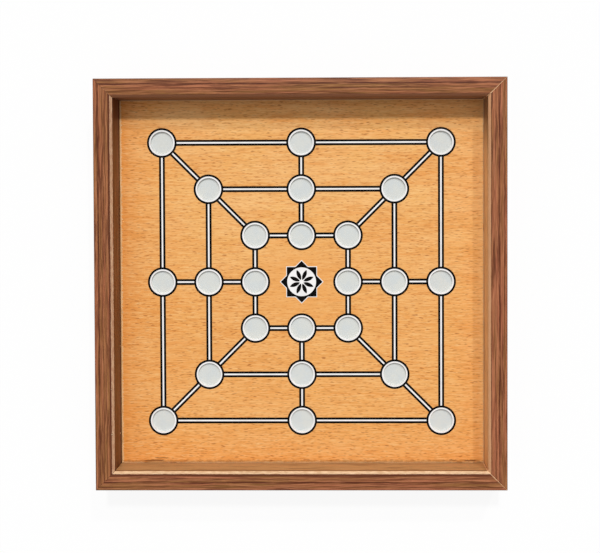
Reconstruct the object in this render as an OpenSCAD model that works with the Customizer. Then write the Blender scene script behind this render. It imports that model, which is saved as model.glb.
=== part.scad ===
// Nine mens morris tray: four mitred rails round a board with a beech face, whose
// twenty-four round wells are joined by printed lines, over a base panel nailed in from below.
// +X is the right, +Y the back, +Z up. The origin is the middle of the underside.

/* [Frame] */
// Outer width of the tray, left to right
tray_w = 300; // [285:1:420]
// Outer depth of the tray, front to back
tray_d = 300; // [285:1:420]
// Height of the rails
rail_h = 30; // [26:0.5:50]
// Width of a rail's top face
rail_face_w = 13.7; // [12:0.1:18]
// Width and drop of the pale bevel along the inside of the top face
bevel_w = 1.7; // [0.5:0.1:3]
// Radius of the rounded edge along the outside of the top face
outer_edge_r = 0.6; // [0.2:0.1:2]
// Width of the rabbet under each rail, which takes the base panel
rabbet_w = 6.5; // [5:0.1:7]

/* [Base panel] */
// Thickness of the base panel
base_t = 3; // [2:0.1:5]
// Height of the base panel's underside above the table
base_recess = 2; // [1:0.1:4]
// Clearance between the base panel's edges and the rabbets
base_gap = 0.3; // [0.1:0.05:0.8]

/* [Board] */
// Thickness of the white backing panel, which is the floor of the wells
backing_t = 3.6; // [2:0.1:8]
// Thickness of the white sheet that the wells are cut through
sheet_t = 1; // [0.6:0.1:3]
// Thickness of the beech film on the sheet
film_t = 0.4; // [0.2:0.05:0.8]
// Clearance between the board's edges and the rails
board_gap = 0.25; // [0.1:0.05:1]

/* [Wells] */
// Distance between neighbouring points of the pattern, across and along
pitch = 34.8; // [31:0.1:37]
// Radius of a well
well_r = 8.5; // [6:0.1:10]

/* [Printed lines] */
// Width of the white ring round each well
white_ring_w = 1.1; // [0.4:0.05:1.6]
// Width of the black ring round each white ring
black_ring_w = 1.55; // [0.4:0.05:1.6]
// Width of the white middle of a line
line_core_w = 1.2; // [0.6:0.1:2.4]
// Width of the black edge on each side of a line
line_edge_w = 1.6; // [0.4:0.1:1.8]
// Thickness of the ink
ink_t = 0.1; // [0.05:0.01:0.2]

/* [Star ornament] */
// Radius to the tips of the eight-pointed star
star_r = 16.4; // [13:0.1:18]
// Width of the white outline round the star
star_outline_w = 0.5; // [0.3:0.1:0.9]
// Radius of the white disc in the star
star_disc_r = 10.8; // [10:0.1:11.2]
// Radius to the tips of the black petals on the disc
petal_r = 9.6; // [7.5:0.1:9.8]
// Radius of the bare middle of the flower, from which its petals start
petal_start_r = 1.4; // [0.8:0.1:2.5]
// Width of a petal at its widest
petal_w = 2.9; // [1.8:0.1:3.2]

/* [Base nails] */
// Number of nails along each rail
nails_per_rail = 4; // [2:1:7]
// Distance from a rail's outer end to its first nail
nail_end_gap = 42; // [28:1:60]
// Radius of a nail's shank
nail_r = 0.7; // [0.5:0.05:1]
// Length of a nail under its head
nail_length = 14; // [8:0.5:18]
// Radius of a nail's head
nail_head_r = 1.6; // [1.2:0.1:2]
// Thickness of a nail's head
nail_head_t = 0.5; // [0.3:0.1:0.8]

/* [Corner joints] */
// Length of each leg of a V-nail across the mitre
v_leg = 3.2; // [2.4:0.1:3.4]
// Thickness of a V-nail's steel strip
v_t = 0.5; // [0.3:0.05:0.8]
// Height of a V-nail
v_h = 8; // [5:0.5:12]
// Angle between a V-nail's leg and the mitre
v_angle = 52; // [40:1:60]

/* [Hidden] */
$fn = 96;

// Free space round steel that is driven into a rail or the base
driven_fit = 0.02;
// How far a cutter reaches past the face that it opens
cut_past = 1;

// Opening between the rails' inner walls
opening_w = tray_w - 2 * rail_face_w;
opening_d = tray_d - 2 * rail_face_w;
// Depth of the rabbets, which end where the base panel's top lies
rabbet_h = base_recess + base_t;
// Levels of the undersides of the backing panel, the drilled sheet, the film and the ink
backing_z = rabbet_h;
sheet_z = backing_z + backing_t;
film_z = sheet_z + sheet_t;
ink_z = film_z + film_t;
// Outer sizes of the base panel and of the board's layers
base_w = opening_w + 2 * (rabbet_w - base_gap);
base_d = opening_d + 2 * (rabbet_w - base_gap);
board_w = opening_w - 2 * board_gap;
board_d = opening_d - 2 * board_gap;

// Radii of the rings round a well, and the whole width of a printed line
white_ring_r = well_r + white_ring_w;
black_ring_r = white_ring_r + black_ring_w;
line_w = line_core_w + 2 * line_edge_w;

// Petals of the flower: each is the lens where two circles overlap
petal_count = 8;
petal_length = petal_r - petal_start_r;
petal_arc_r = (petal_length * petal_length + petal_w * petal_w) / (4 * petal_w);
// Radius to the tips of the black star inside its white outline
star_inner_r = star_r - star_outline_w * sqrt(2);

// The eight points of one square of the pattern, counted in pitches, in order round it
square_steps = [[-1, -1], [0, -1], [1, -1], [1, 0], [1, 1], [0, 1], [-1, 1], [-1, 0]];
square_count = 3;
function well_at(square, i) = pitch * square * square_steps[i % len(square_steps)];
steps = [0 : len(square_steps) - 1];

// Every line of the pattern, as the two wells that it joins: the sides of the three
// squares, then the lines from each square to the next one out
side_lines = [for (k = [1 : square_count]) for (i = steps) [well_at(k, i), well_at(k, i + 1)]];
cross_lines = [for (k = [1 : square_count - 1]) for (i = steps) [well_at(k, i), well_at(k + 1, i)]];
lines = concat(side_lines, cross_lines);

// Where the nails and the V-nails stand: both sit in the middle of the wood that takes them
nail_inset = rail_face_w - rabbet_w / 2;
lip_w = rail_face_w - rabbet_w;
v_outer_inset = lip_w / 2;
v_inner_inset = nail_inset;

// What a rail loses where its square edge is rounded to radius r. The corner is at the
// origin and the wood lies in +x and -y.
module edge_round(r) {
  difference() {
    translate([-cut_past, -r]) square([r + cut_past, r + cut_past]);
    translate([r, -r]) circle(r);
  }
}

// Cross-section of a rail: x runs from the outer wall to the inner wall, y is the height
module rail_section() {
  difference() {
    square([rail_face_w, rail_h]);
    translate([lip_w, -cut_past]) square([rabbet_w + cut_past, rabbet_h + cut_past]);
    translate([0, rail_h]) edge_round(outer_edge_r);
    translate([rail_face_w, rail_h])
      polygon([[cut_past, cut_past], [-bevel_w - cut_past, cut_past], [cut_past, -bevel_w - cut_past]]);
  }
}

// Outline of a mitred rail from above, along +x, with its outer wall on y = 0
module mitre_outline(length) {
  polygon([[-length / 2, 0], [length / 2, 0],
           [length / 2 - rail_face_w, rail_face_w], [rail_face_w - length / 2, rail_face_w]]);
}

// The wall of one rail, ends mitred, before anything is driven into it
module rail_bar(length) {
  intersection() {
    translate([-length / 2, 0, 0]) rotate([90, 0, 90]) linear_extrude(length) rail_section();
    linear_extrude(rail_h) mitre_outline(length);
  }
}

// Nail places along one rail, measured from the rail's middle
function nail_place(length, i) =
  -length / 2 + nail_end_gap + i * (length - 2 * nail_end_gap) / (nails_per_rail - 1);

// Shanks of one rail's nails, with gap all round
module nail_shanks(length, gap) {
  for (i = [0 : nails_per_rail - 1])
    translate([nail_place(length, i), nail_inset, base_recess - gap])
      cylinder(r = nail_r + gap, h = nail_length + 2 * gap);
}

// Heads of one rail's nails, which lie on the underside of the base panel
module nail_heads(length) {
  for (i = [0 : nails_per_rail - 1])
    translate([nail_place(length, i), nail_inset, base_recess - nail_head_t])
      cylinder(r = nail_head_r, h = nail_head_t);
}

// One V-nail, point towards +x along the mitre, centred on it, with gap all round
module v_nail(gap) {
  reach = v_leg * cos(v_angle);
  translate([reach / 2, 0, -gap])
    linear_extrude(v_h + 2 * gap)
      for (side = [-1, 1])
        rotate(side * v_angle)
          translate([-v_leg - gap, -v_t / 2 - gap]) square([v_leg + v_t / 2 + 2 * gap, v_t + 2 * gap]);
}

// Both V-nails of the corner at the origin, whose rails run along +x and +y
module corner_pair(gap) {
  translate([v_outer_inset, v_outer_inset, 0]) rotate(45) v_nail(gap);
  translate([v_inner_inset, v_inner_inset, rabbet_h]) rotate(45) v_nail(gap);
}

// Places its children at both ends of a rail that runs along +x
module at_rail_ends(length) {
  for (side = [0, 1]) mirror([side, 0, 0]) translate([-length / 2, 0, 0]) children();
}

// One finished rail with its nail holes and V-nail slots
module rail(length) {
  difference() {
    rail_bar(length);
    nail_shanks(length, driven_fit);
    at_rail_ends(length) corner_pair(driven_fit);
  }
}

// Places a rail's own shape on one side of the tray: 0 front, 1 right, 2 back, 3 left
module on_side(side) {
  out = side % 2 == 0 ? tray_d / 2 : tray_w / 2;
  rotate(90 * side) translate([0, -out, 0]) children();
}

function side_length(side) = side % 2 == 0 ? tray_w : tray_d;

// The 24 wells' discs at radius r
module discs(r) {
  for (k = [1 : square_count]) for (i = steps) translate(well_at(k, i)) circle(r);
}

// A bar of width w from point a to point b
module bar(a, b, w) {
  run = b - a;
  translate(a) rotate(atan2(run[1], run[0])) translate([0, -w / 2]) square([norm(run), w]);
}

// Every line of the pattern at width w
module pattern(w) {
  for (line = lines) bar(line[0], line[1], w);
}

// Eight-pointed star: two squares, one turned by half a right angle
module star(tip_r) {
  for (turn = [0, 45]) rotate(turn) square(tip_r * sqrt(2), center = true);
}

// Flower of lens-shaped petals round the middle
module petals() {
  middle = (petal_start_r + petal_r) / 2;
  offset_y = petal_arc_r - petal_w / 2;
  for (i = [0 : petal_count - 1])
    rotate((i + 0.5) * 360 / petal_count)
      intersection() {
        translate([middle, offset_y]) circle(petal_arc_r);
        translate([middle, -offset_y]) circle(petal_arc_r);
      }
}

module rail_front() { color("#8b5a3a") on_side(0) rail(side_length(0)); }
module rail_right() { color("#92603f") on_side(1) rail(side_length(1)); }
module rail_back() { color("#8f5b3e") on_side(2) rail(side_length(2)); }
module rail_left() { color("#885538") on_side(3) rail(side_length(3)); }

// Hardboard panel in the rabbets, drilled by its nails
module base_panel() {
  color("#6e4a30")
    difference() {
      translate([-base_w / 2, -base_d / 2, base_recess]) cube([base_w, base_d, base_t]);
      for (side = [0 : 3]) on_side(side) nail_shanks(side_length(side), driven_fit);
    }
}

// A layer of the board with a round hole at every well, from level z up
module holed_layer(z, thickness) {
  translate([0, 0, z])
    linear_extrude(thickness)
      difference() {
        square([board_w, board_d], center = true);
        discs(well_r);
      }
}

// White panel that lies on the base panel: its top is the floor of the wells
module backing_panel() {
  color("#d5dada")
    translate([-board_w / 2, -board_d / 2, backing_z]) cube([board_w, board_d, backing_t]);
}

// White sheet on the backing panel
module drilled_sheet() { color("#eef0ee") holed_layer(sheet_z, sheet_t); }

// Beech film on the sheet
module beech_film() { color("#e6a465") holed_layer(film_z, film_t); }

// Black ink: both edges of every line, and the rings round the wells
module line_print_black() {
  color("#141210")
    translate([0, 0, ink_z])
      linear_extrude(ink_t)
        difference() {
          union() {
            difference() {
              pattern(line_w);
              pattern(line_core_w);
            }
            discs(black_ring_r);
          }
          discs(white_ring_r);
        }
}

// White ink: the middle of every line, and the rings next to the wells
module line_print_white() {
  color("#f4f2f6")
    translate([0, 0, ink_z])
      linear_extrude(ink_t) {
        difference() {
          pattern(line_core_w);
          discs(black_ring_r);
        }
        difference() {
          discs(white_ring_r);
          discs(well_r);
        }
      }
}

// Black ink of the star: its body round the disc, and the flower on the disc
module star_print_black() {
  color("#141210")
    translate([0, 0, ink_z])
      linear_extrude(ink_t) {
        difference() {
          star(star_inner_r);
          circle(star_disc_r);
        }
        petals();
      }
}

// White ink of the star: its outline, and the disc behind the flower
module star_print_white() {
  color("#f4f2f6")
    translate([0, 0, ink_z])
      linear_extrude(ink_t) {
        difference() {
          star(star_r);
          star(star_inner_r);
        }
        difference() {
          circle(star_disc_r);
          petals();
        }
      }
}

// Two V-nails across each mitre, one in the lip and one over the rabbet
module corner_v_nails() {
  color("#9a9ea2")
    for (side = [0, 2]) on_side(side) at_rail_ends(side_length(side)) corner_pair(0);
}

// Nails through the base panel into the rails
module base_nails() {
  color("#9a9ea2")
    for (side = [0 : 3])
      on_side(side) {
        nail_shanks(side_length(side), 0);
        nail_heads(side_length(side));
      }
}

rail_front();
rail_back();
rail_left();
rail_right();
base_panel();
backing_panel();
drilled_sheet();
beech_film();
line_print_black();
line_print_white();
star_print_black();
star_print_white();
corner_v_nails();
base_nails();
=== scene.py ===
import math

import bpy
import numpy as np
from mathutils import Matrix, Quaternion, Vector


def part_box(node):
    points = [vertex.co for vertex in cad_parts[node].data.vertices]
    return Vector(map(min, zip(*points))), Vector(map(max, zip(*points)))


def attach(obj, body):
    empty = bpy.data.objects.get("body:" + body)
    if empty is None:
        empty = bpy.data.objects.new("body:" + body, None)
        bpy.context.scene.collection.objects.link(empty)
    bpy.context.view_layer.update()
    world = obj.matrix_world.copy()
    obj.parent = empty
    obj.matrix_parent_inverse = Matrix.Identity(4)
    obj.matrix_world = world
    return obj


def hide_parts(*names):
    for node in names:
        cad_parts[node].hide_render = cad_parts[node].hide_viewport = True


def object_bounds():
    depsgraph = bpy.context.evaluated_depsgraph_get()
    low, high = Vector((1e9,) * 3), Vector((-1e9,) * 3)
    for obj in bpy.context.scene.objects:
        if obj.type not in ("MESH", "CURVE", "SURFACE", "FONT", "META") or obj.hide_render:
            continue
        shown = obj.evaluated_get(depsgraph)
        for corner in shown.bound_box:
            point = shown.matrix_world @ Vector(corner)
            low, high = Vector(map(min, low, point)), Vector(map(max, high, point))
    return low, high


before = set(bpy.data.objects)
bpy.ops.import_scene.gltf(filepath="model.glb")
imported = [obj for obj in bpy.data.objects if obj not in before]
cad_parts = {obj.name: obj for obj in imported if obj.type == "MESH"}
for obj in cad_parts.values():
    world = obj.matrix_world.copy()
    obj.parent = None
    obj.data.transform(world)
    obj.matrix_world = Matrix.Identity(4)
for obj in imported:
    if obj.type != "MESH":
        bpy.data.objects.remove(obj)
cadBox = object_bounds()
print("frame loaded:", len(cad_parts), "nodes")

# Lengths are metres, so a millimetre is a thousandth. Patterns are drawn in millimetres.
mm = 0.001
perMm = 1 / mm

trayLow, trayHigh = (np.array(corner) for corner in cadBox)
boardLow, boardHigh = (np.array(corner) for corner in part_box("beech_film"))
sheetLow, sheetHigh = (np.array(corner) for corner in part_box("drilled_sheet"))
baseLow, baseHigh = (np.array(corner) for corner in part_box("base_panel"))
trayWidth, trayDepth, railHeight = trayHigh - trayLow
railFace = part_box("rail_front")[1].y - trayLow[1]
rabbetWidth = 6.5 * mm

# In millimetres: half the square board, and the heights of its face and of the base's underside
boardHalf = float(boardHigh[0]) * perMm
boardFace = float(boardHigh[2]) * perMm
baseFoot = float(baseLow[2]) * perMm


# The linear colour of a picture colour given as 0 to 255
def picture(red, green, blue):
    share = np.array([red, green, blue]) / 255
    linear = np.where(share <= 0.04045, share / 12.92, ((share + 0.055) / 1.055) ** 2.4)
    return (*linear.tolist(), 1)


# Values that wander smoothly from -1 to 1: random heights at evenly spaced knots, joined by half
# waves of a cosine. A closed run ends where it began.
def wander(count, knots, seed, closed=False):
    heights = np.random.default_rng(seed).uniform(-1, 1, knots)
    heights = np.append(heights, heights[0] if closed else heights[-1])
    place = np.linspace(0, knots, count, endpoint=not closed)
    knot = np.minimum(place.astype(int), knots - 1)
    ease = (1 - np.cos(np.pi * (place - knot))) / 2
    return heights[knot] * (1 - ease) + heights[knot + 1] * ease


# Quads between neighbouring rows of a grid of points. Along a closed row the last point joins
# the first.
def gridQuads(rows, columns, closed=False):
    across = columns if closed else columns - 1
    row, column = np.meshgrid(np.arange(rows - 1), np.arange(across), indexing="ij")
    after = (column + 1) % columns
    here, beyond = row * columns, (row + 1) * columns
    corners = [here + column, here + after, beyond + after, beyond + column]
    return np.stack(corners, axis=-1).reshape(-1, 4)


# Rows of points on the flat, each row raised to its level
def raised(rows, levels):
    column = np.broadcast_to(levels[:, None, None], (*rows.shape[:2], 1))
    return np.concatenate([rows, column], axis=-1)


# The front side's x and y, turned by quarter turns to another side of the tray
def turnedTo(side, x, y):
    turn = side * math.pi / 2
    return x * math.cos(turn) - y * math.sin(turn), x * math.sin(turn) + y * math.cos(turn)


# The tray's length along a side, and its reach from there to the side across
def spanOf(side):
    return (trayWidth, trayDepth) if side % 2 == 0 else (trayDepth, trayWidth)


# Points of several patches as one surface: points that lie on the same spot become one
def weld(points, faces, digits=7):
    kept, renamed = np.unique(np.round(points, digits), axis=0, return_inverse=True)
    return kept, renamed.reshape(-1)[faces]


def newObject(name, data):
    made = bpy.data.objects.new(name, data)
    bpy.context.scene.collection.objects.link(made)
    return made


# One finished piece at the origin, on its body, with its slot and the CAD node that it stands for
def addPiece(name, points, faces, material, node, smoothAngle=35):
    mesh = bpy.data.meshes.new(name)
    mesh.from_pydata(points.tolist(), [], [list(map(int, face)) for face in faces])
    mesh.materials.append(material)
    piece = newObject(name, mesh)
    mesh.shade_smooth()
    mesh.set_sharp_from_angle(angle=math.radians(smoothAngle))
    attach(piece, "root")
    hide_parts(node)
    return piece


# A new shader node. Its inputs take a value, or another node's output, which is then linked.
def addNode(tree, kind, inputs=None, **settings):
    made = tree.nodes.new("ShaderNode" + kind)
    for name, value in settings.items():
        setattr(made, name, value)
    for name, value in (inputs or {}).items():
        plug(made.inputs[name], value)
    return made


def plug(socket, value):
    if isinstance(value, bpy.types.NodeSocket):
        socket.id_data.links.new(value, socket)
    else:
        socket.default_value = value


# The node tree of the first output among some values
def treeOf(*values):
    return next(value.id_data for value in values if isinstance(value, bpy.types.NodeSocket))


def calc(operation, first, second=0, clamp=False):
    made = addNode(treeOf(first, second), "Math", {0: first, 1: second}, operation=operation)
    made.use_clamp = clamp
    return made.outputs[0]


def plus(first, second, clamp=False):
    return calc("ADD", first, second, clamp=clamp)


def minus(first, second):
    return calc("SUBTRACT", first, second)


def times(first, second, clamp=False):
    return calc("MULTIPLY", first, second, clamp=clamp)


def divided(first, second):
    return calc("DIVIDE", first, second)


def absolute(value):
    return calc("ABSOLUTE", value)


def greater(first, second):
    return calc("MAXIMUM", first, second)


def vectorOf(x, y, z=0):
    return addNode(treeOf(x, y, z), "CombineXYZ", {"X": x, "Y": y, "Z": z}).outputs[0]


def vectorCalc(operation, first, second):
    return addNode(first.id_data, "VectorMath", {0: first, 1: second}, operation=operation).outputs[0]


def lengthOf(vector):
    return addNode(vector.id_data, "VectorMath", {0: vector}, operation="LENGTH").outputs["Value"]


def noise(vector, detail=2, roughness=0.5):
    inputs = {"Vector": vector, "Scale": 1, "Detail": detail, "Roughness": roughness}
    return addNode(vector.id_data, "TexNoise", inputs).outputs["Fac"]


# A soft step: 0 up to low, 1 from high on
def step(value, low, high, bottom=0, top=1):
    inputs = {"Value": value, "From Min": low, "From Max": high, "To Min": bottom, "To Max": top}
    made = addNode(value.id_data, "MapRange", inputs, interpolation_type="SMOOTHSTEP")
    return made.outputs["Result"]


# A colour with others laid over it in turn. A layer is its colour and its share of the mix, or its
# colour, a value and what step takes to make the share of it.
def layered(colour, *layers):
    for over, share, *span in layers:
        inputs = {0: step(share, *span) if span else share, 6: colour, 7: over}
        colour = addNode(share.id_data, "Mix", inputs, data_type="RGBA").outputs[2]
    return colour


# An empty node group with its named inputs, each with a starting value, and its named outputs
def newGroup(name, inputs, outputs):
    group = bpy.data.node_groups.new(name, "ShaderNodeTree")
    for label, value in inputs.items():
        socket = group.interface.new_socket(name=label, in_out="INPUT", socket_type="NodeSocketFloat")
        socket.default_value = value
    for label in outputs:
        group.interface.new_socket(name=label, in_out="OUTPUT", socket_type="NodeSocketFloat")
    given = list(group.nodes.new("NodeGroupInput").outputs)[:len(inputs)]
    return group, given, group.nodes.new("NodeGroupOutput").inputs


# Wood tone in long streaks: noise whose cells are Length long and Width wide, and which wavers a
# little across the grain. Tone runs from 0, dark, to 1, light.
def makeStreakGroup():
    group, (along, across, length, width, waver, seed), out = newGroup("Wood streaks", {
        "Along": 0, "Across": 0, "Length": 50, "Width": 1, "Waver": 0.4, "Seed": 0}, ["Tone"])
    bend = noise(vectorOf(divided(along, 24), seed, 7), 1)
    shift = times(minus(bend, 0.5), waver)
    bent = divided(plus(across, shift), width)
    tone = noise(vectorOf(divided(along, length), bent, seed), 3, 0.55)
    plug(out["Tone"], step(tone, 0.3, 0.7))
    return group


# Short marks that lie along the grain, such as beech flecks and open pores. Each cell of a Voronoi
# pattern, 1.6 marks long and 3.6 marks wide, may hold one: an ellipse round the cell's point, where
# sqrt((2 * along / Length) ** 2 + (2 * across / Width) ** 2) is less than 1. Share is how many do.
def makeFleckGroup():
    group, (along, across, length, width, share, seed), out = newGroup("Grain flecks", {
        "Along": 0, "Across": 0, "Length": 3, "Width": 0.5, "Share": 0.6, "Seed": 0}, ["Mask"])
    away = times(seed, 41.3)
    cellX = divided(along, times(length, 1.6))
    cellY = divided(across, times(width, 3.6))
    run = vectorOf(divided(along, 13), divided(cellY, 2), seed)
    bent = plus(cellY, times(noise(run, 2), 1.5))
    place = vectorOf(plus(cellX, away), minus(bent, away))
    cell = addNode(group, "TexVoronoi", {"Vector": place, "Scale": 1, "Randomness": 1},
                   voronoi_dimensions="2D", feature="F1")
    offset = vectorCalc("SUBTRACT", place, cell.outputs["Position"])
    reach = lengthOf(vectorCalc("MULTIPLY", offset, (3.2, 7.2, 0)))
    chance = addNode(group, "SeparateColor", {"Color": cell.outputs["Color"]})
    there = calc("LESS_THAN", chance.outputs[0], share)
    depth = step(chance.outputs[1], 0, 1, 0.35, 1)
    mark = step(reach, 0.35, 1.05, 1, 0)
    plug(out["Mask"], times(times(mark, there), depth))
    return group


# One thin dark line of grain at a set place across the rail: strong where Across is near Place,
# wavering with the grain, and fading in and out along it
def makeGrainLineGroup():
    group, (along, across, place, width, waver, seed), out = newGroup("Grain line", {
        "Along": 0, "Across": 0, "Place": 4, "Width": 0.5, "Waver": 0.6, "Seed": 0}, ["Mask"])
    run = vectorOf(divided(along, 20), seed, 3)
    shift = times(minus(noise(run, 2), 0.5), waver)
    away = absolute(minus(plus(across, shift), place))
    line = step(divided(away, width), 0.25, 1, 1, 0)
    fade = noise(vectorOf(divided(along, 16), seed, 9), 2)
    plug(out["Mask"], times(line, step(fade, 0.25, 0.6, 0.4, 1)))
    return group


# A rubbed or chipped edge: 1 within Reach of the edge, with a border that Ragged moves to and fro
def makeChipGroup():
    group, (distance, along, reach, ragged, grain, seed), out = newGroup("Chipped edge", {
        "Distance": 0, "Along": 0, "Reach": 0.3, "Ragged": 0.5, "Grain": 1.2, "Seed": 0}, ["Mask"])
    place = vectorOf(divided(along, grain), seed, 1)
    rough = times(minus(noise(place, 3, 0.6), 0.5), ragged)
    border = minus(plus(reach, rough), distance)
    plug(out["Mask"], step(border, -0.08, 0.08))
    return group


# Handling: broad soft clouds, and a few small specks of dust and dents
def makeHandlingGroup():
    group, (x, y, z, cloudSize, speckSize), out = newGroup("Handling", {
        "X": 0, "Y": 0, "Z": 0, "Cloud Size": 40, "Speck Size": 0.5}, ["Cloud", "Speck"])
    place = vectorOf(x, y, z)
    wide = vectorCalc("DIVIDE", place, vectorOf(cloudSize, cloudSize, cloudSize))
    plug(out["Cloud"], step(noise(wide, 3, 0.55), 0.3, 0.7))
    size = times(speckSize, 9)
    fine = vectorCalc("DIVIDE", place, vectorOf(size, size, size))
    cell = addNode(group, "TexVoronoi", {"Vector": fine, "Scale": 1, "Randomness": 1})
    chance = addNode(group, "SeparateColor", {"Color": cell.outputs["Color"]})
    there = calc("LESS_THAN", chance.outputs[2], 0.22)
    dot = step(cell.outputs["Distance"], 0.05, 0.12, 1, 0)
    plug(out["Speck"], times(dot, there))
    return group


streakGroup = makeStreakGroup()
fleckGroup = makeFleckGroup()
grainLineGroup = makeGrainLineGroup()
chipGroup = makeChipGroup()
handlingGroup = makeHandlingGroup()


# A group's outputs, with its inputs set or linked
def effect(group, **inputs):
    return addNode(treeOf(*inputs.values()), "Group", inputs, node_tree=group).outputs


# Streaks from their length, width and waver in mm
def streaksOf(along, across, sizes, seed):
    length, width, waver = sizes
    return effect(streakGroup, Along=along, Across=across, Length=length, Width=width,
                  Waver=waver, Seed=seed)[0]


# Flecks from their length and width in mm and the share of the places that hold one
def flecksOf(along, across, sizes, seed):
    length, width, share = sizes
    return effect(fleckGroup, Along=along, Across=across, Length=length, Width=width,
                  Share=share, Seed=seed)[0]


# Marks of handling from the sizes in mm of their clouds and specks
def marksOf(x, y, z, sizes):
    named = dict(zip(("Cloud Size", "Speck Size"), sizes))
    return effect(handlingGroup, X=x, Y=y, Z=z, **named)


def newMaterial(name):
    material = bpy.data.materials.new(name)
    material.use_nodes = True
    tree = material.node_tree
    return material, tree, tree.nodes["Principled BSDF"]


# Object coordinates in millimetres, as three outputs
def placeInMm(tree):
    coordinates = addNode(tree, "TexCoord").outputs["Object"]
    scaled = addNode(tree, "VectorMath", {0: coordinates, "Scale": perMm}, operation="SCALE")
    return addNode(tree, "SeparateXYZ", {"Vector": scaled.outputs[0]}).outputs


# What every finish ends with: its colour, its roughness, its relief as a height and the depth of
# that in metres, and how strongly it reflects
def finishShader(shader, colour, rough, height, depth, specular=0.5):
    relief = addNode(height.id_data, "Bump", {"Height": height, "Strength": 1, "Distance": depth})
    plug(shader.inputs["Base Color"], colour)
    plug(shader.inputs["Roughness"], rough)
    plug(shader.inputs["Normal"], relief.outputs["Normal"])
    plug(shader.inputs["Specular IOR Level"], specular)


# The four rails. Side counts quarter turns from the front, and tone moves the foil from olive to
# pinkish. Bare is the width in mm of the pale line where the foil has chipped along the mitre at
# each end. The bevel and wall colours are set side by side as each side is lit: painted light and
# shade over the foil's own tone, pale on the front bevel that faces the lamps, dark at the back.
# The wear value is how far the bevel is painted to cream, partly rubbed foil and partly a painted
# highlight. The crease value is how dark the lines beside the bevel are, partly creased foil and
# partly painted shade, and how far in mm the upper one reaches. The foot value is how dark the wall
# is painted just above the board, as painted shade where wall meets board, and the shaded end which
# end of the wall is painted darker, as the back rail's shadow. A knock is its place along the rail,
# its way up from the board and its radius in mm. A grain line is its place across the rail in mm
# from the outer edge, its width in mm and its strength.
rails = {
    "rail_front": {
        "side": 0, "tone": 0.5, "bare": (0, 0.34), "bevel": picture(200, 156, 116), "wearAndHighlight": 0.7,
        "creaseAndShade": (0.85, 1.6), "wall": picture(178, 135, 88), "foot": 0.1, "shadedEnd": 0, "knocks": [],
        "lines": [(5.7, 0.85, 1), (11.3, 0.6, 0.95), (10.2, 0.35, 0.5), (2.4, 0.5, 0.5), (8.3, 0.5, 0.5)]},
    "rail_right": {
        "side": 1, "tone": 0.6, "bare": (0, 0), "bevel": picture(214, 158, 114), "wearAndHighlight": 0.15,
        "creaseAndShade": (0.3, 0.7), "wall": picture(240, 192, 138), "foot": 0.25, "shadedEnd": 1, "knocks": [],
        "lines": [(5.6, 0.95, 1), (2.2, 0.5, 0.5), (11.4, 0.45, 0.45), (8.6, 0.5, 0.3), (3.4, 0.35, 0.4)]},
    "rail_back": {
        "side": 2, "tone": 0.4, "bare": (0.46, 0.1), "bevel": picture(144, 94, 64), "wearAndHighlight": 0,
        "creaseAndShade": (0.1, 0.7), "wall": picture(124, 80, 54), "foot": 0, "shadedEnd": 0, "knocks": [],
        "lines": [(3.9, 1, 1), (7, 0.6, 0.7), (9.4, 0.55, 0.5), (12.2, 1.3, 0.8), (1.4, 0.4, 0.4)]},
    "rail_left": {
        "side": 3, "tone": 0.45, "bare": (0, 0), "bevel": picture(178, 126, 96), "wearAndHighlight": 0.45,
        "creaseAndShade": (0.95, 1), "wall": picture(112, 66, 34), "foot": 0.7, "shadedEnd": -1,
        "knocks": [(47.5, 2, 0.8), (113, 3, 0.7), (109, 20.4, 0.6), (76, 20.6, 0.5)],
        "lines": [(3.3, 1, 1), (6.3, 0.55, 0.75), (8.5, 0.5, 0.6), (11.2, 0.85, 0.95), (4.9, 0.3, 0.4)]},
}

railShape = {
    "lip": railFace - rabbetWidth,  # width of the underside, up to the rabbet
    "bevel": 1.7 * mm,  # width and drop of the pale bevel
    "outerEdge": 0.6 * mm,  # radius of the outer top edge
    "softEdge": 0.12 * mm,  # radius of the bevel's own edges
    "footEdge": 0.25 * mm,  # radius of the lower edges
    "hollow": 0.06 * mm,  # how far the underside is cupped
    "chamfer": 0.1 * mm,  # softening of the edges at a mitre
    "mitreGap": 0.02 * mm,  # air in a mitre, on each rail's side
    "bevelWander": 0.07 * mm,  # how far the bevel's edges stray from straight
    "stations": 260,  # points along a rail, and round each corner of its section
    "arcSteps": 5,
    "mapStep": 400,  # from one rail to the next on the grain map, in mm
}


def unit(vectors):
    return vectors / np.linalg.norm(vectors, axis=1, keepdims=True)


# A closed outline whose corners are rounded: each corner is cut back along both of its edges by
# radius / tan(half its angle), and an arc with the middle on its bisector joins the cuts.
def roundedOutline(corners, radii, arcSteps):
    toBefore = unit(np.roll(corners, 1, axis=0) - corners)
    toAfter = unit(np.roll(corners, -1, axis=0) - corners)
    half = np.arccos(np.sum(toBefore * toAfter, axis=1)) / 2
    bisector = unit(toBefore + toAfter)
    centre = corners + bisector * (radii / np.sin(half))[:, None]
    cut = (radii / np.tan(half))[:, None]
    first = (corners + toBefore * cut - centre)[:, None, :]
    last = (corners + toAfter * cut - centre)[:, None, :]
    sweep = (np.pi - 2 * half)[:, None, None]
    share = np.linspace(0, 1, arcSteps)[None, :, None]
    arc = (np.sin((1 - share) * sweep) * first + np.sin(share * sweep) * last) / np.sin(sweep)
    return (centre[:, None, :] + arc).reshape(-1, 2)


# Unit normals of a closed outline that point into it, when it runs clockwise
def inwardNormals(outline):
    run = unit(np.roll(outline, -1, axis=0) - np.roll(outline, 1, axis=0))
    return np.stack([run[:, 1], -run[:, 0]], axis=1)


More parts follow.
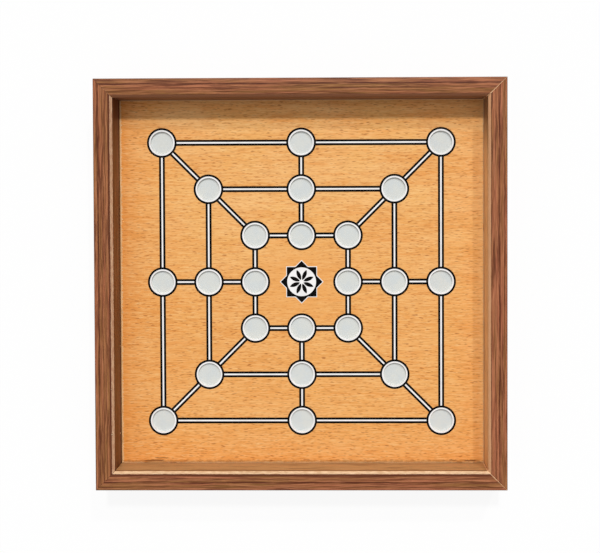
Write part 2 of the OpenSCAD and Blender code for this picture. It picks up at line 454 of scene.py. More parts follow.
# The rail's section: u from the outer wall, z from the table. The distances along the outline say
# where each finish begins: they are counted from the rabbet's foot, over the underside, up the
# outer wall, over the top and down the inner wall.
shape = railShape
sectionCorners = np.array([
    [shape["lip"], 0], [0, 0], [0, railHeight], [railFace - shape["bevel"], railHeight],
    [railFace, railHeight - shape["bevel"]], [railFace, baseHigh[2]], [shape["lip"], baseHigh[2]]])
foot, soft = shape["footEdge"], shape["softEdge"]
sectionRadii = np.array([foot, foot, shape["outerEdge"], soft, soft, soft, foot])
bevelTop, bevelFoot = 3, 4  # of these corners
section = roundedOutline(sectionCorners, sectionRadii, shape["arcSteps"])
cornerOf = np.repeat(np.arange(len(sectionCorners)), shape["arcSteps"])
acrossLengths = np.linalg.norm(np.roll(section, -1, axis=0) - section, axis=1)
acrossAt = np.append(0, np.cumsum(acrossLengths))
cornerAt = (acrossAt[:-1].reshape(-1, shape["arcSteps"]).mean(axis=1) * perMm).tolist()
outerFootAt, outerTopAt, bevelTopAt, bevelFootAt, innerFootAt = cornerAt[1:6]
boardAt = innerFootAt - float(boardHigh[2] - baseHigh[2]) * perMm

foilLook = {
    "pinkish": picture(168, 99, 67), "olive": picture(143, 97, 50), "light": picture(190, 124, 86),
    "dark": picture(84, 36, 12), "pore": picture(80, 40, 20), "cream": picture(242, 210, 170),
    "chip": picture(236, 190, 146), "board": picture(196, 160, 118),
    "boardDark": picture(150, 116, 80),
    "hueStreaks": (70, 3, 2.5), "broadStreaks": (44, 1.6, 2.5), "fineStreaks": (24, 0.55, 2.5),
    "wallStreaks": (24, 1.9, 1.6), "pores": (4, 0.22, 0.6), "fibres": (1.1, 0.3, 0.9),
    # The span below is where the wall is painted darker, as the back rail's shadow
    "wallDark": (92, 126),  # from the rail's middle to where its wall begins and ends to darken
    "lap": 4,  # width of the foil underneath, in mm
    "roughness": 0.42, "specular": 0.22,
}


# Printed wood foil over fibreboard. Along the rail's own map, Along and Across in millimetres:
# broad and fine streaks, grain lines and pores, then the inner wall in its own tone with painted
# light and shade, the pale bevel with its worn top edge and painted highlight, painted shade along
# the creases, the chipped mitres, and bare fibreboard where the foil ends underneath.
def makeFoil(name, rail):
    look = foilLook
    material, tree, shader = newMaterial(name)
    side = rail["side"]
    grain = addNode(tree, "UVMap", uv_map="grain").outputs[0]
    along, across, _ = addNode(tree, "SeparateXYZ", {"Vector": grain}).outputs
    mitre = addNode(tree, "Attribute", attribute_name="mitre").outputs["Fac"]
    bareWidth = addNode(tree, "Attribute", attribute_name="bareWidth").outputs["Fac"]

    hue = streaksOf(along, across, look["hueStreaks"], side + 1.3)
    broad = streaksOf(along, across, look["broadStreaks"], side + 4.1)
    fine = streaksOf(along, across, look["fineStreaks"], side + 8.7)
    pores = flecksOf(along, across, look["pores"], side + 2.9)

    hue = plus(hue, rail["tone"] - 0.5, clamp=True)
    colour = layered(
        look["olive"],
        (look["pinkish"], hue),
        (look["dark"], broad, 0.05, 0.45, 0.75, 0),
        (look["dark"], fine, 0.05, 0.45, 0.55, 0),
        (look["light"], fine, 0.5, 0.9, 0, 0.6))
    fromEdge = minus(across, outerTopAt)
    for index, (place, width, strength) in enumerate(rail["lines"]):
        line = effect(grainLineGroup, Along=along, Across=fromEdge, Place=place, Width=width,
                      Waver=1.5, Seed=side * 5 + index + 0.5)[0]
        colour = layered(colour, (look["dark"], times(line, strength)))
    colour = layered(colour, (look["pore"], times(pores, 0.5)))

    # The inner wall is the same foil in the rail's own wall tone, set per side as painted light and shade,
    # with painted shade at its foot above the board and painted shadow towards one end
    edge = noise(vectorOf(divided(along, 1.6), side + 0.7), 3, 0.6)
    wallBands = streaksOf(along, across, look["wallStreaks"], side + 12.4)
    onMap = side * railShape["mapStep"]
    toShadedEnd = times(minus(along, onMap), rail["shadedEnd"])
    aboveBoard = minus(boardAt, across)
    notched = plus(aboveBoard, times(minus(edge, 0.5), 3))
    wallTone = layered(
        rail["wall"],
        (look["dark"], wallBands, 0, 0.5, 0.4, 0),
        (look["light"], wallBands, 0.5, 1, 0, 0.25),
        (look["pore"], times(pores, 0.45)),
        # painted shadow of the back rail towards one end of the wall
        (look["dark"], toShadedEnd, *look["wallDark"], 0, 0.75),
        # painted shade at the wall's foot, just above the board
        (look["dark"], notched, 2.2, 3.6, rail["foot"], 0))
    colour = layered(colour, (wallTone, across, bevelFootAt - 0.1, bevelFootAt + 0.1))

    # The bevel, whose upper edge is worn to a ragged cream line: partly rubbed foil, partly a painted
    # highlight
    stray = times(minus(edge, 0.5), 0.4)
    moved = plus(across, stray)
    onBevel = times(step(moved, bevelTopAt - 0.08, bevelTopAt + 0.08),
                    step(moved, bevelFootAt - 0.1, bevelFootAt + 0.1, 1, 0))
    patch = vectorOf(divided(along, 5), divided(across, 0.8), side)
    soft = step(noise(patch, 3), 0.3, 0.7)
    wornAndLit = times(step(soft, 0.1, 0.9, 0.25, 1), rail["wearAndHighlight"])
    bevelTone = layered(rail["bevel"], (look["cream"], wornAndLit),
                        (look["olive"], fine, 0, 0.5, 0.25, 0))
    colour = layered(colour, (bevelTone, onBevel))

    # Knocks: a pale chip with a dark rim, both ragged
    for place, rise, radius in rail["knocks"]:
        fromKnock = vectorOf(minus(along, onMap + place),
                             plus(minus(across, boardAt - rise), stray))
        away = plus(lengthOf(fromKnock), times(stray, 1.5))
        colour = layered(colour, (look["pore"], away, radius, radius * 1.9, 0.85, 0),
                         (look["cream"], away, radius * 0.7, radius, 0.9, 0))

    # The foil is darker along the outer top edge and on both sides of the bevel: partly creased foil,
    # partly painted shade along these edges
    dark, width = rail["creaseAndShade"]
    for middle, reach, share in ((outerTopAt, 0.8, 0.6), (bevelTopAt - width / 2, width, dark),
                                 (bevelFootAt + 1.3, 1.4, 0.2 + 0.6 * dark)):
        away = absolute(minus(moved, middle))
        colour = layered(colour, (look["dark"], away, 0.1, reach, share, 0))

    # Chipped mitres
    chipped = effect(chipGroup, Distance=mitre, Along=across, Reach=bareWidth, Ragged=0.5,
                     Grain=1.4, Seed=side + 0.2)[0]
    chipped = times(chipped, calc("GREATER_THAN", bareWidth, 0.01))
    seam = times(step(mitre, 0, 0.22, 0.55, 0), minus(1, chipped))
    colour = layered(colour, (look["chip"], chipped), (look["pore"], seam))

    # Bare fibreboard, from the foil's lap underneath to the rabbet's foot
    lapEnd = outerFootAt - look["lap"]
    fibres = flecksOf(along, across, look["fibres"], side + 6)
    bareTone = layered(look["board"], (look["boardDark"], times(fibres, 0.35)))
    bare = plus(step(moved, lapEnd - 0.15, lapEnd + 0.15, 1, 0),
                step(moved, innerFootAt - 0.15, innerFootAt + 0.15), clamp=True)
    colour = layered(colour, (bareTone, bare))

    height = minus(minus(times(fine, 0.5), pores), times(chipped, 2))
    smooth = look["roughness"]
    rough = plus(step(broad, 0, 1, smooth + 0.06, smooth - 0.04), times(bare, 0.35))
    finishShader(shader, colour, rough, height, 0.02 * mm, look["specular"])
    return material


# A rail's surface over two parameters. Across, the point runs round the section (u, z). Along, it
# runs from mitre to mitre: x = s * (half the length - u). The first and last stations lie in the
# mitre planes and are drawn in by the chamfer. Then the bar is turned to its side of the tray.
def makeRail(name, rail):
    look = railShape
    side = rail["side"]
    length, reach = spanOf(side)
    stations = look["stations"]
    count = len(section)
    u = np.tile(section[:, 0], (stations, 1))
    z = np.tile(section[:, 1], (stations, 1))

    # The bevel's edges stray, each within its own face
    topStray = wander(stations, 48, side + 10) * look["bevelWander"]
    footStray = wander(stations, 60, side + 20) * look["bevelWander"]
    u += (cornerOf == bevelTop) * topStray[:, None]
    z += (cornerOf == bevelFoot) * footStray[:, None]

    # The last station at each end is drawn in along the section's normals
    inward = inwardNormals(section) * look["chamfer"]
    for end in (0, -1):
        u[end] += inward[:, 0]
        z[end] += inward[:, 1]
    share = np.append(-1, np.append(np.linspace(-1, 1, stations - 2), 1))
    back = np.full(stations, look["mitreGap"] + look["chamfer"])
    back[[0, -1]] = look["mitreGap"]
    x = share[:, None] * (length / 2 - u - back[:, None])
    points = np.stack([*turnedTo(side, x, u - reach / 2), z], axis=-1)

    quads = gridQuads(stations, count, closed=True)
    caps = [list(range(count - 1, -1, -1)), list(range((stations - 1) * count, stations * count))]
    faces = [*quads[:, ::-1], *(cap[::-1] for cap in caps)]
    piece = addPiece(name + "_foiled", points.reshape(-1, 3), faces,
                     makeFoil("walnut_foil_" + name, rail), name, 30)

    # The grain map, one value for each corner of each face, so that the map can end where it began
    mesh = piece.data
    loops = np.zeros(len(mesh.loops), int)
    mesh.loops.foreach_get("vertex_index", loops)
    station, around = loops // count, loops % count
    quadLoops = len(quads) * 4
    wraps = np.zeros(len(loops), bool)
    perFace = around[:quadLoops].reshape(-1, 4)
    closing = (perFace.max(axis=1) == count - 1) & (perFace.min(axis=1) == 0)
    wraps[:quadLoops] = ((perFace == 0) & closing[:, None]).reshape(-1)
    acrossMm = np.where(wraps, acrossAt[-1], acrossAt[around]) * perMm
    alongMm = x[station, around] * perMm + side * look["mapStep"]
    layer = mesh.uv_layers.new(name="grain")
    layer.data.foreach_set("uv", np.stack([alongMm, acrossMm], axis=1).reshape(-1))

    # How far each point is from its mitre, and how wide the pale line is there: widest at the bevel
    away = (length / 2 - u - np.abs(x)) / math.sqrt(2) * perMm
    mesh.attributes.new("mitre", "FLOAT", "POINT").data.foreach_set("value", away.reshape(-1))
    width = np.where(x < 0, *rail["bare"]) * (0.35 + 1.1 * np.clip(u / railFace, 0, 1))
    mesh.attributes.new("bareWidth", "FLOAT", "POINT").data.foreach_set("value", width.reshape(-1))
    return piece


# The underside is cupped a little between its two feet
onUnderside = (section[:, 1] < 0.5 * shape["footEdge"]) & (section[:, 0] < shape["lip"])
cupShare = np.clip(section[:, 0] / shape["lip"], 0, 1)
section[:, 1] += onUnderside * shape["hollow"] * np.sin(np.pi * cupShare)

for railName, rail in rails.items():
    makeRail(railName, rail)
print("rails made")


# The board's wells, on a lattice of seven by seven points: three squares, one inside the other
boardShape = {
    "pitch": 34.8 * mm,
    "wellRadius": 8.5 * mm,
    "squares": 3,
    "side": 24,  # steps along one side of a lattice cell
    "filmLip": 0.16 * mm,  # rounding of the film's edge round a well
    "sheetLip": 0.1 * mm,
    "outerLip": 0.03 * mm,  # the same along the board's edge
    "tightness": 0.2 * mm,  # how far the two layers close the gap to the rails
    "sheetRagged": 0.03 * mm,
    # By side from the front: how far the film stops short of the sheet, and how far it strays
    "filmInsets": (0.06 * mm, 0, 0, 0.5 * mm),
    "filmStrays": (0.06 * mm, 0.02 * mm, 0.02 * mm, 0.28 * mm),
}

# Places where the film has broken away at the board's edge: side, middle, half length and depth
filmBreaks = [
    (0, -110, 8.5, 0.9), (0, -97, 3, 0.4), (0, 131, 2.6, 0.7), (0, 118, 2, 0.45),
    (3, 96, 3, 0.5), (3, -20, 4, 0.45), (3, 22, 2.2, 0.6), (3, 60, 2, 0.5),
    (1, 40, 2.5, 0.3), (3, -62, 5, 0.35), (3, 118, 2.5, 0.7),
]


# Points on the border of a square of half size 1, in even steps from its lower left corner round
def squareRing(stepsPerSide):
    share = np.arange(stepsPerSide) / stepsPerSide * 2 - 1
    bottom = np.stack([share, -np.ones(stepsPerSide)], axis=1)
    ring = [bottom]
    for _ in range(3):
        last = ring[-1]
        ring.append(np.stack([-last[:, 1], last[:, 0]], axis=1))
    return np.concatenate(ring)


# Points on a circle of radius 1 that face those of the square ring
def circleRing(stepsPerSide):
    angle = np.arange(4 * stepsPerSide) / (4 * stepsPerSide) * 2 * np.pi - 0.75 * np.pi
    return np.stack([np.cos(angle), np.sin(angle)], axis=1)


# A flat slab with a hole at every well, as one closed surface. Round a hole, a row of points is
# (1 - t) * circle + t * square, from the cell's border in to the lip, round the lip, down the
# wall and back out below. A cell without a hole is a plain grid, above and below. The margin is a
# ring of rows from the lattice's border out to the board's edge, over it and back in below.
def holedSlab(low, high, lip, edgeInset):
    look = boardShape
    side, radius, half = look["side"], look["wellRadius"], look["pitch"] / 2
    bottom, top = low[2], high[2]
    square, circle = squareRing(side), circleRing(side)
    arc = np.linspace(0, np.pi / 2, 4)
    blends = np.array([1, 0.72, 0.46, 0.22, *[0] * len(arc), 0, 0.35, 0.7, 1])
    radii = np.array([*[radius + lip] * 4, *(radius + lip * (1 - np.sin(arc))), *[radius] * 4])
    heights = np.array([*[top] * 4, *(top - lip * (1 - np.cos(arc))), *[bottom] * 4])
    ring = ((1 - blends) * radii)[:, None, None] * circle + (blends * half)[:, None, None] * square
    cell = raised(ring, heights).reshape(-1, 3)
    wellPatches = [(cell, gridQuads(len(blends), len(square), closed=True))]

    line = np.linspace(-half, half, side + 1)
    gridX, gridY = np.meshgrid(line, line)
    plainQuads = gridQuads(side + 1, side + 1)
    plainPatches = []
    for z, quads in ((top, plainQuads), (bottom, plainQuads[:, ::-1])):
        plain = np.stack([gridX, gridY, np.full_like(gridX, z)], axis=-1)
        plainPatches.append((plain.reshape(-1, 3), quads))

    points, faces, total = [], [], 0
    count = look["squares"]
    for column in range(-count, count + 1):
        for row in range(-count, count + 1):
            centre = np.array([column, row, 0]) * look["pitch"]
            isWell = (column, row) != (0, 0) and (abs(column) == abs(row) or 0 in (column, row))
            for patch, quads in wellPatches if isWell else plainPatches:
                points.append(patch + centre)
                faces.append(quads + total)
                total += len(patch)

    border = squareRing(side * (2 * count + 1))
    inner = (count + 0.5) * look["pitch"]
    outer = (high[0] - low[0]) / 2 + look["tightness"]
    outward = np.array([0, 0.3, 0.6, 0.85, 0.97, 1, 1, 1, 0.6, 0])
    edge = look["outerLip"]
    drawnIn = np.array([0, 0, 0, 0, 0, edge, 0, 0, 0, 0])
    levels = np.array([*[top] * 6, top - edge, *[bottom] * 3])
    reach = (inner + outward * (outer - inner))[:, None, None]
    limit = (outer - drawnIn[:, None] - edgeInset)[:, :, None]
    limit = np.where(outward[:, None, None] < 0.9, reach, np.minimum(limit, reach))
    points.append(raised(np.clip(reach * border, -limit, limit), levels).reshape(-1, 3))
    faces.append(gridQuads(len(levels), len(border), closed=True)[:, ::-1] + total)
    return weld(np.concatenate(points), np.concatenate(faces))


# How far the film stops short at each point of the board's edge: a wandering line, and the breaks
def filmEdge():
    look = boardShape
    perSide = look["side"] * (2 * look["squares"] + 1)
    stray = np.repeat(look["filmStrays"], perSide) * wander(4 * perSide, 260, 31, closed=True)
    inset = np.clip(np.repeat(look["filmInsets"], perSide) + stray, 0, None)
    place = np.linspace(-1, 1, perSide, endpoint=False) * boardHigh[0] * perMm
    for side, middle, halfLength, depth in filmBreaks:
        bump = np.clip(1 - ((place - middle) / halfLength) ** 2, 0, None) ** 0.5
        inset[side * perSide:(side + 1) * perSide] += bump * depth * mm
    return inset


# Dark cracks in the film near the front edge, in mm from the board's middle: their middle along
# the edge, half length, place across and half width
filmCracks = [(-112, 9, -134.6, 0.55), (-106, 6, -132.8, 0.4),
              (126, 5, -134.8, 0.6), (113, 3, -134.4, 0.4)]

beechLook = {
    "light": picture(247, 189, 119), "deep": picture(237, 166, 89), "gold": picture(243, 183, 104),
    "orange": picture(236, 146, 62), "fleck": picture(162, 88, 30), "ray": picture(250, 204, 140),
    "edgeShade": picture(120, 74, 40), "crack": picture(88, 44, 20), "sheet": picture(238, 194, 142),
    "bands": (130, 13, 8), "streaks": (34, 1.7, 1.6), "fineStreaks": (9, 0.6, 0.9),
    "flecks": (4.6, 0.74, 0.85), "smallFlecks": (2.9, 0.52, 0.85), "rays": (5, 1, 0.6),
    "marks": (40, 0.5),
    "rimMiddle": (20, 12), "rimReach": (156, 148),  # of the orange rim, in mm
    "edgeShadeReach": 7, "roughness": 0.4, "specular": 0.26,
}


# Printed beech film: soft bands and fine streaks along x, dark flecks and paler rays. It is more
# orange at the left edge and towards the corners. Painted light and shade: deeper in front and round
# the middle as the light falls off, lighter along the right edge against the shade of the right
# wall, and darker along the back and the front edge as shade at the walls' feet. It has a pale
# chipped edge where the sheet shows.
def makeBeech():
    look = beechLook
    material, tree, shader = newMaterial("beech_film")
    x, y, z = placeInMm(tree)
    bands = streaksOf(x, y, look["bands"], 3.1)
    streaks = streaksOf(x, y, look["streaks"], 5.4)
    fine = streaksOf(x, y, look["fineStreaks"], 7.7)
    flecks = flecksOf(x, y, look["flecks"], 1.9)
    small = flecksOf(x, y, look["smallFlecks"], 4.4)
    rays = flecksOf(x, y, look["rays"], 8.2)
    handled = marksOf(x, y, z, look["marks"])

    # The orange rim: share = (|x - middle| / reach) ** 6 + 0.6 * (|y - middle| / reach) ** 6
    edgeX, edgeY = [divided(absolute(minus(value, middle)), reach)
                    for value, middle, reach in zip((x, y), look["rimMiddle"], look["rimReach"])]
    farY = times(calc("POWER", edgeY, 6), 0.6)
    rim = plus(calc("POWER", edgeX, 6), farY)
    rim = times(rim, step(handled["Cloud"], 0, 1, 0.55, 1), clamp=True)
    patchy = step(bands, 0, 1, 0.8, 0.55)
    colour = layered(
        look["deep"],
        (look["light"], bands),
        (look["gold"], handled["Cloud"], 0.3, 1, 0, 0.5),
        # painted shade: deeper towards the front, as the light falls off
        (look["deep"], y, -30, 60, 0.55, 0),
        (look["orange"], times(rim, 0.75)),
        (look["orange"], streaks, 0, 0.5, 0.28, 0),
        (look["fleck"], fine, 0, 0.5, 0.22, 0),
        (look["ray"], fine, 0.5, 1, 0, 0.4),
        (look["ray"], times(rays, 0.4)),
        (look["fleck"], times(flecks, patchy)),
        (look["fleck"], times(small, 0.65)))

    # Cracks, each a ragged line along x. The waver lifts their place by 0.7 mm on average.
    waver = noise(vectorOf(divided(x, 2.4), 0.6), 3)
    crackY = plus(y, times(waver, 1.4))
    for middle, halfLength, place, halfWidth in filmCracks:
        beside = divided(absolute(minus(crackY, place + 0.7)), halfWidth)
        ahead = divided(absolute(minus(x, middle)), halfLength)
        crack = times(step(beside, 0.4, 1.2, 0.75, 0),
                      step(ahead, 0.6, 1, 1, 0))
        colour = layered(colour, (look["crack"], crack))

    # Tones by distance from the board's edges and its middle: painted light along the right edge, more
    # orange along the left edge, painted shade round the middle, and painted shade along the back and the
    # front edge
    # Painted shade along the back edge under the back wall, and along the front edge at the front wall's
    # foot
    fromFrontEdge = plus(plus(y, boardHalf), times(minus(waver, 0.5), 2.4))
    edgeShade = greater(step(minus(boardHalf, y), 0, look["edgeShadeReach"], 0.2, 0),
                    step(fromFrontEdge, 0.5, 2.4, 0.55, 0))
    colour = layered(
        colour,
        # painted light: lighter along the right edge, lifting the shade of the right wall
        (look["ray"], minus(boardHalf, x), 0, 5, 0.25, 0),
        (look["orange"], plus(x, boardHalf), 1, 9, 0.35, 0),
        # painted shade: deeper round the middle
        (look["deep"], lengthOf(vectorOf(x, y)), 12, 48, 0.5, 0),
        (look["edgeShade"], edgeShade))

    # The pale core shows on the film's own edges, and in small chips along them
    toSide = minus(boardHalf, absolute(x))
    toEnd = minus(boardHalf, absolute(y))
    reach = step(x, -1, 1, 1.3, 0.3)
    chipSide = effect(chipGroup, Distance=toSide, Along=y, Reach=reach, Ragged=3.6,
                      Grain=1, Seed=0.4)[0]
    chipEnd = effect(chipGroup, Distance=toEnd, Along=x, Reach=0.3, Ragged=1,
                     Grain=2.6, Seed=2.4)[0]
    chips = greater(chipSide, chipEnd)
    below = step(z, boardFace - 0.14, boardFace - 0.05, 1, 0)
    colour = layered(colour, (look["sheet"], greater(times(chips, 0.8), below)))

    height = minus(times(fine, 0.4), flecks)
    rough = step(handled["Cloud"], 0, 1, look["roughness"] - 0.04, look["roughness"] + 0.06)
    finishShader(shader, colour, rough, height, 0.006 * mm, look["specular"])
    return material


# The floor tone below, for the wells' floors, is the sheet's white painted greyer, as painted shade in the
# sunken wells
whiteLook = {
    "sheet": picture(236, 238, 236), "floor": picture(216, 218, 213), "shade": picture(206, 213, 216),
    "scuff": picture(196, 196, 196), "edge": picture(222, 170, 112),
    "marks": (9, 0.22), "brushing": (3, 0.3, 0.5), "roughness": 0.45, "specular": 0.3,
}


# White plastic sheet: faint clouds in tone and sheen, scuffs, and fine dust. Its outer edges are
# yellowed, where the film has bared them.
def makeWhite(name, tone):
    look = whiteLook
    material, tree, shader = newMaterial(name)
    x, y, z = placeInMm(tree)
    handled = marksOf(x, y, z, look["marks"])
    brushed = streaksOf(x, y, look["brushing"], 2.2)
    farthest = greater(absolute(x), absolute(y))
    colour = layered(
        tone,
        (look["shade"], handled["Cloud"], 0, 1, 0.5, 0),
        (look["scuff"], brushed, 0, 0.4, 0.12, 0),
        (look["scuff"], times(handled["Speck"], 0.5)),
        (look["edge"], minus(boardHalf, farthest), 0.8, 1.6, 1, 0))
    rough = step(handled["Cloud"], 0, 1, look["roughness"] - 0.08, look["roughness"] + 0.08)
    finishShader(shader, colour, rough, brushed, 0.004 * mm, look["specular"])
    return material


beech = makeBeech()
filmPoints, filmFaces = holedSlab(boardLow, boardHigh, boardShape["filmLip"], filmEdge())
addPiece("beech_film_face", filmPoints, filmFaces, beech, "beech_film")

edgeCount = 4 * boardShape["side"] * (2 * boardShape["squares"] + 1)
sheetEdge = (wander(edgeCount, 120, 41, closed=True) + 1) * boardShape["sheetRagged"]
sheetPoints, sheetFaces = holedSlab(sheetLow, sheetHigh, boardShape["sheetLip"], sheetEdge)
addPiece("drilled_sheet_body", sheetPoints, sheetFaces, makeWhite("white_sheet", whiteLook["sheet"]),
         "drilled_sheet")
print("board made:", len(filmFaces), "and", len(sheetFaces), "faces")


# Gives a CAD node's every material slot one finish
def finishNode(node, material):
    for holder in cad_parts[node].material_slots:
        holder.material = material


inkLook = {
    "black": picture(5, 4, 4), "blackWorn": picture(15, 12, 11), "white": picture(248, 246, 245),
    "whiteDim": picture(234, 232, 231), "marks": (6, 0.12), "grain": (9, 0.45, 0.8),
    "roughness": 0.6, "specular": 0.04,
}


# Printed ink: solid, with faint clouds in its cover, pinholes, and the film's grain in its sheen
def makeInk(name, full, thin):
    look = inkLook
    material, tree, shader = newMaterial(name)
    x, y, z = placeInMm(tree)
    handled = marksOf(x, y, z, look["marks"])
    fine = streaksOf(x, y, look["grain"], 7.7)
    colour = layered(full, (thin, handled["Cloud"], 0.3, 1, 0, 0.6),
                     (thin, times(handled["Speck"], 0.6)))
    rough = step(fine, 0, 1, look["roughness"] + 0.05, look["roughness"] - 0.05)
    finishShader(shader, colour, rough, fine, 0.003 * mm, look["specular"])
    return material


blackInk = makeInk("black_ink", inkLook["black"], inkLook["blackWorn"])
whiteInk = makeInk("white_ink", inkLook["white"], inkLook["whiteDim"])
for node, ink in (("line_print_black", blackInk), ("star_print_black", blackInk),
                  ("line_print_white", whiteInk), ("star_print_white", whiteInk)):
    finishNode(node, ink)
# The well floors take the greyer floor tone: painted shade for their sunken place
finishNode("backing_panel", makeWhite("white_backing", whiteLook["floor"]))
print("print and backing finished")


baseLook = {
    "fibre": picture(118, 82, 54), "light": picture(146, 106, 72), "dark": picture(84, 56, 38),
    "marks": (14, 0.3), "fibres": (2.2, 0.3, 0.9), "crossed": (2, 0.3, 0.9),
    "mesh": 0.9,  # width in mm of one wave of the weave
    "roughness": (0.7, 0.82), "specular": 0.25,
}


# Hardboard: matted fibres, and on its underside the imprint of the press screen's weave
def makeHardboard():
    look = baseLook
    material, tree, shader = newMaterial("hardboard")
    x, y, z = placeInMm(tree)
    clouds = marksOf(x, y, z, look["marks"])
    fibres = flecksOf(x, y, look["fibres"], 1.1)
    crossed = flecksOf(y, x, look["crossed"], 5.1)
    weaveX = calc("SINE", times(x, 2 * math.pi / look["mesh"]))
    weaveY = calc("SINE", times(y, 2 * math.pi / look["mesh"]))
    weave = step(times(weaveX, weaveY), -0.6, 0.6)
    under = step(z, baseFoot + 0.1, baseFoot + 0.3, 1, 0)
    weave = times(weave, under)
    colour = layered(
        look["fibre"],
        (look["light"], clouds["Cloud"]),
        (look["dark"], times(fibres, 0.5)),
        (look["light"], times(crossed, 0.4)),
        (look["dark"], times(weave, 0.35)))
    height = minus(plus(fibres, crossed), times(weave, 1.6))
    rough = step(clouds["Cloud"], 0, 1, *look["roughness"])
    finishShader(shader, colour, rough, height, 0.05 * mm, look["specular"])
    return material


finishNode("base_panel", makeHardboard())

steelLook = {
    "bright": picture(176, 178, 180), "dull": picture(128, 128, 128), "rust": picture(120, 84, 60),
    "marks": (1.6, 0.12), "scratches": (1.4, 0.08, 0.3), "roughness": (0.48, 0.3),
}


# Zinc-plated steel: grey clouds, fine scratches and a little rust
def makeSteel():
    look = steelLook
    material, tree, shader = newMaterial("zinc_steel")
    x, y, z = placeInMm(tree)
    clouds = marksOf(x, y, z, look["marks"])
    scratches = streaksOf(x, y, look["scratches"], 1.7)
    colour = layered(look["dull"], (look["bright"], clouds["Cloud"]),
                     (look["rust"], times(clouds["Speck"], 0.7)))
    rough = step(scratches, 0, 1, *look["roughness"])
    finishShader(shader, colour, rough, scratches, 0.004 * mm)
    plug(shader.inputs["Metallic"], 1)
    return material


steel = makeSteel()
finishNode("corner_v_nails", steel)

# Shank and head are radii. The end gap runs from a tray's corner to the nearest nail.
nailShape = {
    "perRail": 4, "endGap": 42 * mm, "inset": railFace - rabbetWidth / 2, "shank": 0.7 * mm,
    "length": 14 * mm, "head": 1.6 * mm, "headHeight": 0.5 * mm, "dome": 0.16 * mm, "steps": 20,
}


# One flat-headed nail, point up, as a profile turned round its axis: (r cos a, r sin a, h). From
# the head's slightly domed face, over its rounded rim, up the shank to the point.
def nailForm():
    look = nailShape
    rise = np.array([0.02, 0.35, 0.7, 0.92, 1, 1, 0.94])
    shank, neck, tip = look["shank"], look["headHeight"], look["headHeight"] + look["length"]
    radii = np.array([*(look["head"] * rise), shank, shank, 0.35 * shank, 0.02 * mm])
    levels = np.array([*(look["dome"] * rise[:5] ** 2), neck - 0.08 * mm, neck, neck,
                       tip - 2 * mm, tip - 0.6 * mm, tip])
    angle = np.arange(look["steps"]) / look["steps"] * 2 * np.pi
    points = np.stack([radii[:, None] * np.cos(angle), radii[:, None] * np.sin(angle),
                       np.broadcast_to(levels[:, None], (len(levels), len(angle)))], axis=-1)
    quads = gridQuads(len(levels), len(angle), closed=True)
    return points.reshape(-1, 3), quads, len(angle)


# The nails of all four rails, in the rows that the base panel is fixed by
def makeNails():
    look = nailShape
    form, quads, around = nailForm()
    points, faces = [], []
    for side in range(4):
        length, reach = spanOf(side)
        last = length / 2 - look["endGap"]
        for along in np.linspace(-last, last, look["perRail"]):
            centre = [*turnedTo(side, along, look["inset"] - reach / 2),
                      baseLow[2] - look["headHeight"]]
            start = len(points) * len(form)
            points.append(form + centre)
            faces.extend(quads + start)
            faces.append(start + np.arange(around)[::-1])
            faces.append(start + len(form) - around + np.arange(around))
    addPiece("base_nail_set", np.concatenate(points), faces, steel, "base_nails")


makeNails()
print("base, nails and corner joints finished")


# 1 for the rays of the camera and of mirrors and clear things, 0 for those that carry light
def seenRays(tree):
    rays = addNode(tree, "LightPath").outputs
    mirrored = greater(rays["Is Glossy Ray"], rays["Is Transmission Ray"])
    return greater(rays["Is Camera Ray"], mirrored)


floorLook = {"half": 3, "tone": picture(250, 250, 250), "ownLight": 0.9}


# The table: a pale floor whose whiteness for the camera is mostly light of its own, so that the
# tray's shadow stays faint. From below it is clear, so that the underside can be seen.
def makeFloor():
    look = floorLook
    half = look["half"]
    corners = [(-half, -half, 0), (half, -half, 0), (half, half, 0), (-half, half, 0)]
    mesh = bpy.data.meshes.new("floor")
    mesh.from_pydata(corners, [], [(0, 1, 2, 3)])
    floor = newObject("floor", mesh)
    material, tree, shader = newMaterial("pale_floor")
    tree.nodes.remove(shader)
    plain = addNode(tree, "BsdfDiffuse", {"Color": look["tone"]})
    white = addNode(tree, "Emission", {"Color": (1, 1, 1, 1), "Strength": 1})
    ownShare = times(seenRays(tree), look["ownLight"])
    lit = addNode(tree, "MixShader", {0: ownShare, 1: plain.outputs[0], 2: white.outputs[0]})
    clear = addNode(tree, "BsdfTransparent")
    behind = addNode(tree, "NewGeometry").outputs["Backfacing"]
    both = addNode(tree, "MixShader", {0: behind, 1: lit.outputs[0], 2: clear.outputs[0]})
    plug(tree.nodes["Material Output"].inputs["Surface"], both.outputs[0])
    mesh.materials.append(material)


makeFloor()

# Light: a main lamp behind the tray and a little to its right, a weaker and lower one farther to
# the right, and an even white sky. Their shares add up to 1 on a level surface, so that a colour
# renders as it is written. Heights, turns and softness are in degrees.
lightLook = {
    "sky": 0.42,
    "main_lamp": {"share": 0.43, "height": 52, "turn": 1, "softness": 5.5},
    "low_lamp": {"share": 0.15, "height": 38.5, "turn": 21, "softness": 2},
}


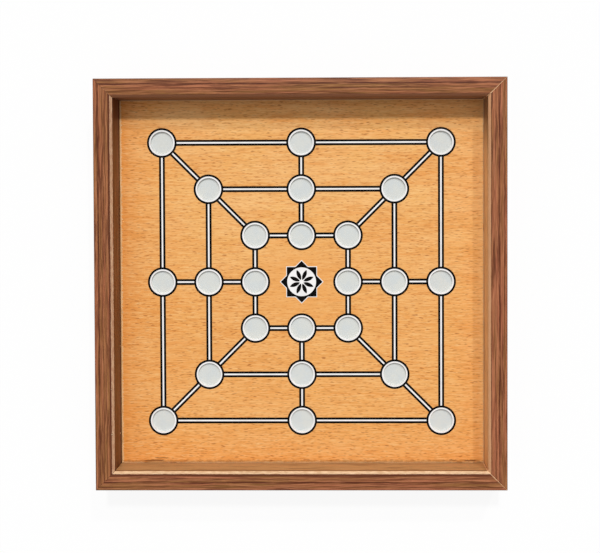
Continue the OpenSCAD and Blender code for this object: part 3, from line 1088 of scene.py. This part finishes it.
# A far lamp at a height above the table and a turn from the back towards the right. On a level
# surface it gives its share of the light: strength = share * pi / sin(height).
def addLamp(name, share, height, turn, softness):
    up, around = math.radians(height), math.radians(turn)
    toLamp = Vector((math.cos(up) * math.sin(around), math.cos(up) * math.cos(around), math.sin(up)))
    data = bpy.data.lights.new(name, "SUN")
    data.energy = share * math.pi / math.sin(up)
    data.angle = math.radians(softness)
    lamp = newObject(name, data)
    lamp.rotation_mode = "QUATERNION"
    lamp.rotation_quaternion = (-toLamp).to_track_quat("-Z", "Y")


def makeSky():
    world = bpy.data.worlds.new("studio")
    bpy.context.scene.world = world
    world.use_nodes = True
    tree = world.node_tree
    strength = plus(times(seenRays(tree), 1 - lightLook["sky"]), lightLook["sky"])
    background = tree.nodes["Background"]
    plug(background.inputs["Color"], (1, 1, 1, 1))
    plug(background.inputs["Strength"], strength)


makeSky()
for lampName in ("main_lamp", "low_lamp"):
    addLamp(lampName, **lightLook[lampName])
print("floor and light set")

# The camera hangs over the tray, a little to the right and to the back of its middle. Focal pixels
# is its focal length in pixels of a picture of that width, and roll is in degrees.
cameraLook = {
    "place": (28.6 * mm, 67.2 * mm, 605 * mm), "aim": (23 * mm, 58.2 * mm, 30 * mm), "roll": -0.2,
    "focalPixels": 795, "pictureWidth": 600, "sensor": 36, "shift": (-0.053, -0.12),
}


def makeCamera():
    look = cameraLook
    data = bpy.data.cameras.new("camera")
    data.sensor_width = look["sensor"]
    data.lens = look["sensor"] * look["focalPixels"] / look["pictureWidth"]
    data.shift_x, data.shift_y = look["shift"]
    camera = newObject("camera", data)
    camera.location = look["place"]
    ahead = (Vector(look["aim"]) - Vector(look["place"])).normalized()
    right = ahead.cross(Vector((0, 1, 0))).normalized()
    axes = Matrix((right, right.cross(ahead), -ahead)).transposed()
    camera.rotation_mode = "QUATERNION"
    roll = Quaternion((0, 0, 1), math.radians(look["roll"]))
    camera.rotation_quaternion = axes.to_quaternion() @ roll
    bpy.context.scene.camera = camera


makeCamera()
bpy.context.scene.view_settings.view_transform = "Standard"
print("camera set")
